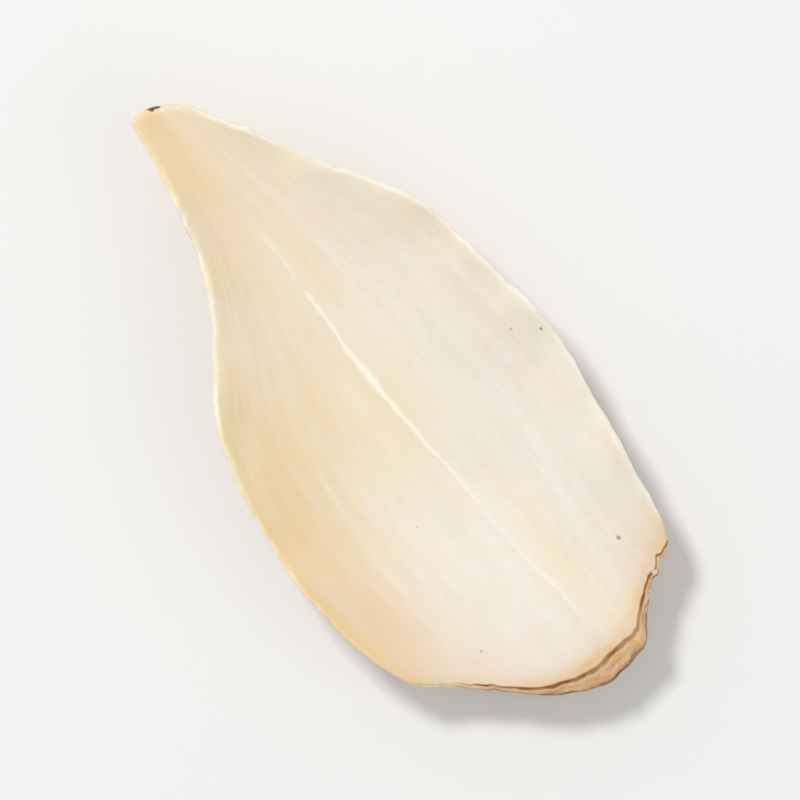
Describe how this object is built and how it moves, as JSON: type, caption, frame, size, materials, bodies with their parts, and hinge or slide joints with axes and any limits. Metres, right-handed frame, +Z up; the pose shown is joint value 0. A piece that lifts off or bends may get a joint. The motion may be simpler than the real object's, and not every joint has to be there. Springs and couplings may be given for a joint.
{
  "type": "dried lily bulb scale",
  "caption": "Dried lily bulb scale: a pointed oval boat-shaped blade, hollow side up, with a raised mid vein, thin wavy margins and a thick broken base.",
  "frame": {"origin": "centre of the bounding box's bottom face, on the surface that the scale rests on", "axes": "+X from the broken base towards the pointed tip, +Y to the left of the mid vein seen from above, +Z up out of the hollow"},
  "size_m": [0.0478, 0.0234, 0.0079],
  "materials": {
    "dried_flesh": "dry, hard, starchy flesh with a dull satin surface, cream to pale tan"
  },
  "bodies": {
    "root": {"lily_scale": "dried_flesh"}
  },
  "joints": []
}
